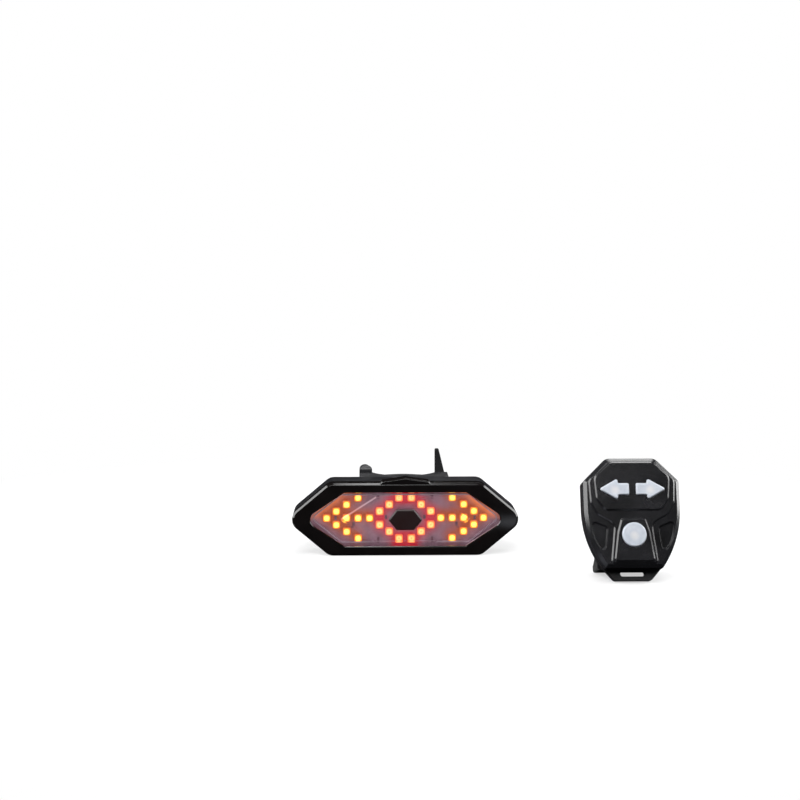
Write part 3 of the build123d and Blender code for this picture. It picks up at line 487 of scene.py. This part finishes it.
def board_piece():
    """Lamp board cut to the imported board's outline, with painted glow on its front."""
    builder = merged("led_board")
    bmesh.ops.dissolve_limit(builder, angle_limit=radians(1), verts=builder.verts, edges=builder.edges)
    for across in (Vector((1, 0, 0)), Vector((0, 0, 1))):
        steps = int((board_high - board_low).dot(across) / board_cell)
        for k in range(1, steps):
            geom = builder.verts[:] + builder.edges[:] + builder.faces[:]
            place = board_low + across * k * board_cell
            bmesh.ops.bisect_plane(builder, geom=geom, plane_co=place, plane_no=across)
    amber = builder.verts.layers.float.new("amber_painted_glow")
    red = builder.verts.layers.float.new("red_painted_glow")
    edge = builder.verts.layers.float.new("painted_edge_glow")
    ring_high, ring_wide = max(b[1] for b in ring_boxes), max(b[0] for b in ring_boxes)
    # Painted red spill: extra halos near the board's top and bottom edges and beside the ring
    edge_z = board_high.z - centre_z - spill_inset
    spill = [(x, t * edge_z) for x in (-lamp_size, 0.0, lamp_size) for t in (-1, 1)]
    spill += [(0.0, ring_high), (0.0, -ring_high), (-ring_wide, 0.0), (ring_wide, 0.0)]
    for v in builder.verts:
        if v.co.y < board_front_y + front_skin:
            x, z = v.co.x, v.co.z - centre_z
            v[amber] = painted_halo_at(x, z, left_boxes + right_boxes, amber_reach, amber_shift)
            v[red] = painted_halo_at(x, z, ring_boxes + spill, red_reach)
            v[edge] = painted_edge_glow(x, z)
    return builder


def board_with_painted_light(name):
    """White solder mask with painted shade and painted light: dim mauve for the shade under the lens,
    and glowing with painted halos of the lamps that stand on it.
    """
    material, tree, shader = start_material(name, IOR=1.5, Roughness=0.4)
    cloud = grain(tree, 5.0, detail=5.0)
    # Painted shade: the white mask is coloured dim mauve for the shade under the lens; the emission
    # colour below makes the whole board glow with painted light
    paint = mottled(tree, cloud, linear("58464C"), linear("76606A"), (0.3, 0.75))
    light = mottled(tree, cloud, linear("5A4048"), linear("745A64"), (0.3, 0.75))
    # Each painted glow: its attribute, the colour it paints into the mask, and the colour it glows
    glows = (
        ("painted_edge_glow", "9A5230", "FF9450"),
        ("amber_painted_glow", "4E1E08", "B04A10"),
        ("red_painted_glow", "600A16", "CC2236"),
    )
    for attribute, painted, lit in glows:
        amount = add(tree, "ShaderNodeAttribute", attribute_name=attribute).outputs["Fac"]
        paint = tinted(tree, paint, painted, amount)
        light = tinted(tree, light, lit, amount)
    tree.links.new(paint, shader.inputs["Base Color"])
    tree.links.new(light, shader.inputs["Emission Color"])
    shader.inputs["Emission Strength"].default_value = board_painted_glow
    relief(tree, shader, cloud, 0.01)
    return material


board_mask = board_with_painted_light("white_solder_mask_painted_light")
finish_piece("lamp_board", board_piece(), board_mask, "light", "white_board", "led_board")

# Pale wall that stands between the board and the rim of the lens, glowing with painted light
skirt_inset = 1.35 * mm
skirt_width = 0.4 * mm
skirt_gap = 0.1 * mm
skirt_tip_radius = 3.0 * mm
arc_steps = 10


def hexagon_line(inset):
    """The opening's hexagon moved inwards, with rounded tips, as places seen from the front."""
    lean = atan2(opening_half_height, opening_half_width - opening_half_flat)
    width, height = opening_half_width - inset, opening_half_height - inset
    radius = skirt_tip_radius - inset / 2
    tip = width + radius * (1 / sin(lean) - 1)
    flat = tip - height / tan(lean)
    arc = []
    for k in range(arc_steps + 1):
        angle = (radians(90) - lean) * (1 - 2 * k / arc_steps)
        arc.append((width - radius + radius * cos(angle), radius * sin(angle)))
    right = [(flat, height)] + arc + [(flat, -height)]
    return right + [(-x, z) for x, z in reversed(right)]


def skirt_piece():
    """A thin closed wall along the hexagon."""
    builder = bmesh.new()
    front_y = lens_high.y + skirt_gap
    line = [builder.verts.new((x, front_y, centre_z + z)) for x, z in hexagon_line(skirt_inset)]
    edges = [builder.edges.new(pair) for pair in zip(line, line[1:] + line[:1])]
    drawn = bmesh.ops.extrude_edge_only(builder, edges=edges)["geom"]
    back = [v for v in drawn if isinstance(v, bmesh.types.BMVert)]
    bmesh.ops.translate(builder, vec=(0, board_front_y - front_y, 0), verts=back)
    bmesh.ops.recalc_face_normals(builder, faces=builder.faces)
    bmesh.ops.solidify(builder, geom=builder.faces[:], thickness=skirt_width)
    bmesh.ops.recalc_face_normals(builder, faces=builder.faces)
    return builder


def painted_glow_polycarbonate(name):
    """Frosted edge of clear polycarbonate, with a painted glow that stands in for the lamps' light
    carried to its rim.
    """
    material, tree, shader = start_material(name, IOR=1.5, Roughness=0.5, Emission_Strength=0.12)
    cloud = grain(tree, 5.0, detail=3.0)
    stain(tree, shader, cloud, "7A6A72", "A0929A", (0.3, 0.7))
    # Painted light: the emission colour makes the wall glow
    stain(tree, shader, cloud, "8C767C", "B8A4AA", (0.3, 0.7), "Emission Color")
    return material


frosted = painted_glow_polycarbonate("frosted_polycarbonate_painted_glow")
finish_piece("lens_skirt", skirt_piece(), frosted, "light", "clear_lens")

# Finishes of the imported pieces
dress(gloss_abs("gloss_abs_bezel", "0B0807", 0.28), "front_bezel")
# The centre cap is black; its dark red-brown colour is painted red light from the lamps round it
dress(textured_abs("satin_abs_cap_painted_red_light", "260F0E", 0.3, 0.42, 0.2), "centre_cap")
dress(textured_abs("satin_abs_case", "121214", 0.35, 0.3), "rear_housing")
dress(textured_abs("textured_abs_cradle", "161618", 0.4, 0.42), "post_cradle")
dress(silicone("silicone_strap", "141416"), "strap")
dress(silicone("silicone_button", "17171A", 0.48), "power_button", "usb_cover")
dress(silicone("rubber_pad", "121213", 0.65), "cradle_pad", "bar_saddle")
dress(silicone("seal_rubber", "0E0E0F", 0.6), "housing_gasket", "remote_gasket")
dress(polycarbonate("clear_polycarbonate"), "lens")
dress(plated_steel("zinc_steel", "8E8F90"), "case_screws", "cradle_screws", "remote_screws", "strap_pin")
nickel_pieces = ("usb_socket", "coin_cell", "cell_clips", "remote_switches")
dress(plated_steel("nickel_steel", "A8A7A0", 0.22), *nickel_pieces)
dress(plain_shell("ceramic_chip", "5A3C44", 0.5), "board_components")
dress(plain_shell("epoxy_package", "0C0C0D", 0.45), "control_chip", "power_switch")
dress(plain_shell("cell_foil", "A9AAAC", 0.3, 1.0), "battery_pack")
dress(plain_shell("copper_wire", "B06A38", 0.3, 1.0), "aerial")
dress(solder_mask("green_solder_mask", "0C3A22", "12492C"), "radio_receiver", "remote_board")
dress(silicone("clear_silicone_mat", "B5B5B0", 0.5), "key_mat")
dress(textured_abs("satin_abs_remote", "151516", 0.3, 0.20, 0.25), "remote_cover")
dress(textured_abs("textured_abs_remote", "131314", 0.35, 0.36, 0.3), "remote_base")
for key in ("left_arrow_key", "right_arrow_key", "round_key"):
    key_low, key_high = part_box(key)
    key_middle = (key_low + key_high) / 2
    key_middle.y = key_low.y + spot_depth_share * (key_high.y - key_low.y)
    dress(key_plastic(f"milky_{key}", key_middle), key)


def in_view(tree):
    """Rays from the camera, straight or through the clear lens, but not mirrored ones."""
    path = add(tree, "ShaderNodeLightPath")
    links = {0: path.outputs["Is Camera Ray"], 1: path.outputs["Is Transmission Ray"]}
    return add(tree, "ShaderNodeMath", operation="MAXIMUM", links=links).outputs["Value"]


def studio():
    """A pale round bowl: flat floor, bent up into a wall all round."""
    builder = bmesh.new()
    profile = [Vector((0, 0, 0)), Vector((floor_radius, 0, 0))]
    for k in range(1, bend_segments + 1):
        a = radians(90) * k / bend_segments
        profile.append(Vector((floor_radius + wall_bend * sin(a), 0, wall_bend * (1 - cos(a)))))
    profile.append(Vector((floor_radius + wall_bend, 0, wall_height)))
    verts = [builder.verts.new(p) for p in profile]
    edges = [builder.edges.new(pair) for pair in zip(verts, verts[1:])]
    bmesh.ops.spin(builder, geom=verts + edges, cent=(0, 0, 0), axis=(0, 0, 1), angle=radians(360),
                   steps=bowl_segments, use_merge=True)
    bmesh.ops.remove_doubles(builder, verts=builder.verts, dist=bowl_weld)
    bmesh.ops.recalc_face_normals(builder, faces=builder.faces)
    for f in builder.faces:
        f.smooth = True
    mesh = bpy.data.meshes.new("studio_bowl")
    builder.to_mesh(mesh)
    builder.free()
    bowl = bpy.data.objects.new("studio_bowl", mesh)
    bpy.context.scene.collection.objects.link(bowl)
    mesh.materials.append(studio_paper())


def studio_paper():
    """White paper with a soft shadow to the camera, and a dark floor to the black plastic."""
    material = bpy.data.materials.new("studio_paper")
    material.use_nodes = True
    tree = material.node_tree
    tree.nodes.clear()
    paper = add(tree, "ShaderNodeBsdfDiffuse", values={"Color": linear("E6E6E6")})
    white = add(tree, "ShaderNodeEmission", values={"Color": linear("FFFFFF"), "Strength": 1.0})
    place = add(tree, "ShaderNodeTexCoord").outputs["Object"]
    reach = add(tree, "ShaderNodeVectorMath", operation="LENGTH", links={0: place}).outputs["Value"]
    values = {"From Min": shade_near, "From Max": shade_far, "To Min": shade_share, "To Max": 1.0}
    fade = add(tree, "ShaderNodeMapRange", values=values, links={"Value": reach},
               interpolation_type="SMOOTHSTEP")
    half = add(tree, "ShaderNodeMixShader", links={"Fac": fade.outputs["Result"]})
    tree.links.new(paper.outputs["BSDF"], half.inputs[1])
    tree.links.new(white.outputs["Emission"], half.inputs[2])
    links, values = {0: place}, {1: card_middle}
    away = add(tree, "ShaderNodeVectorMath", operation="DISTANCE", links=links, values=values)
    core = card_core_share * card_reach
    values = {"From Min": core, "From Max": card_reach, "To Min": card_glow, "To Max": 0.0}
    card = add(tree, "ShaderNodeMapRange", values=values, links={"Value": away.outputs["Value"]},
               interpolation_type="SMOOTHSTEP")
    dark = add(tree, "ShaderNodeBsdfDiffuse", values={"Color": linear("2A2A2C")})
    glow = add(tree, "ShaderNodeEmission", values={"Color": linear("D8DCE6")})
    tree.links.new(card.outputs["Result"], glow.inputs["Strength"])
    dim = add(tree, "ShaderNodeAddShader")
    tree.links.new(dark.outputs["BSDF"], dim.inputs[0])
    tree.links.new(glow.outputs["Emission"], dim.inputs[1])
    both = add(tree, "ShaderNodeMixShader", links={"Fac": in_view(tree)})
    tree.links.new(dim.outputs["Shader"], both.inputs[1])
    tree.links.new(half.outputs["Shader"], both.inputs[2])
    out = add(tree, "ShaderNodeOutputMaterial")
    tree.links.new(both.outputs["Shader"], out.inputs["Surface"])
    return material


def soft_box(name, place, width, height, watts):
    """A rectangular soft lamp that looks at the middle of the part."""
    data = bpy.data.lights.new(name, "AREA")
    data.shape, data.size, data.size_y, data.energy = "RECTANGLE", width, height, watts
    lamp = bpy.data.objects.new(name, data)
    bpy.context.scene.collection.objects.link(lamp)
    lamp.location = place
    lamp.rotation_mode = "QUATERNION"
    lamp.rotation_quaternion = ((cad_low + cad_high) / 2 - Vector(place)).to_track_quat("-Z", "Y")


def sky():
    """White to the camera, dimmer to the object, so that black plastic stays black."""
    world = bpy.context.scene.world or bpy.data.worlds.new("studio_world")
    bpy.context.scene.world = world
    world.use_nodes = True
    tree = world.node_tree
    tree.nodes.clear()
    white = add(tree, "ShaderNodeBackground", values={"Color": linear("FFFFFF"), "Strength": 1.0})
    room = add(tree, "ShaderNodeBackground", values={"Color": linear("DCE0E6"), "Strength": room_glow})
    mixed = add(tree, "ShaderNodeMixShader", links={"Fac": in_view(tree)})
    tree.links.new(room.outputs["Background"], mixed.inputs[1])
    tree.links.new(white.outputs["Background"], mixed.inputs[2])
    out = add(tree, "ShaderNodeOutputWorld")
    tree.links.new(mixed.outputs["Shader"], out.inputs["Surface"])


def camera():
    """The photograph's camera: a little above the lens and just left of its middle."""
    pixel = (bezel_high.x - bezel_low.x) / light_width_px
    aim = Vector((0, bezel_low.y, centre_z))
    data = bpy.data.cameras.new("camera")
    data.sensor_width = sensor
    data.lens = sensor * view_distance / (pixel * frame_pixels)
    data.clip_start, data.clip_end = 0.01, 20.0
    side = atan((light_centre_px[0] - frame_pixels / 2) * pixel / view_distance)
    drop = atan((light_centre_px[1] - frame_pixels / 2) * pixel / view_distance)
    flat = cos(view_elevation)
    back = Vector((sin(view_azimuth) * flat, -cos(view_azimuth) * flat, sin(view_elevation)))
    eye = bpy.data.objects.new("camera", data)
    bpy.context.scene.collection.objects.link(eye)
    eye.location = aim + back * view_distance
    pitch = view_elevation - drop
    yaw = view_azimuth + side
    eye.rotation_euler = (radians(90) - pitch, 0, yaw)
    bpy.context.scene.camera = eye


studio()
sky()
camera()
for soft_lamp in soft_lamps:
    soft_box(*soft_lamp)
bpy.context.scene.view_settings.view_transform = "Standard"
